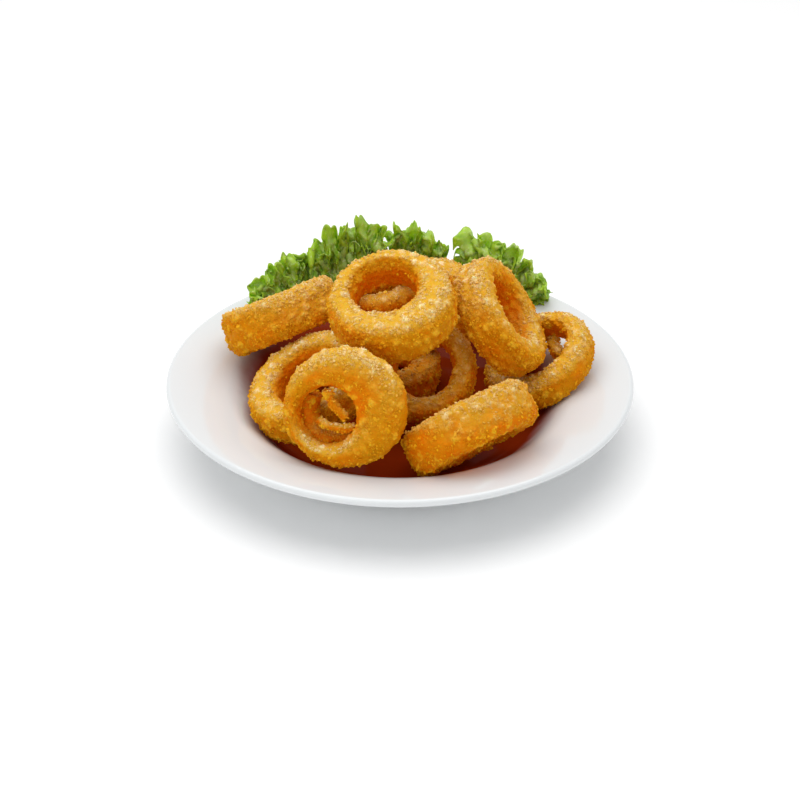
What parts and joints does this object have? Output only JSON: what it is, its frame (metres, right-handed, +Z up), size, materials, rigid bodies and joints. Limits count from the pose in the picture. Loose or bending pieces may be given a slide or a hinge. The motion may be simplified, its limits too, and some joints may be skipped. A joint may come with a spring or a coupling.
{
  "type": "onion rings on a deep plate",
  "caption": "Heap of craggy, golden breaded onion rings on a deep white rimmed plate, with frilly lettuce leaves standing behind them.",
  "frame": {"origin": "centre of the plate's foot ring, on the surface that the plate stands on", "axes": "+Z up, along the plate's axis; -Y towards the viewer's side, away from the lettuce; +X to the right of that side"},
  "size_m": [0.26, 0.26, 0.1149],
  "materials": {
    "plate": "gloss",
    "crust": "matte",
    "lettuce": "satin"
  },
  "bodies": {
    "root": {"plate": "plate", "ring_01": "crust", "ring_02": "crust", "ring_03": "crust", "ring_04": "crust", "ring_05": "crust", "ring_06": "crust", "ring_07": "crust", "ring_08": "crust", "ring_09": "crust", "ring_10": "crust", "lettuce_1": "lettuce", "lettuce_2": "lettuce", "lettuce_3": "lettuce", "lettuce_4": "lettuce"}
  },
  "joints": []
}
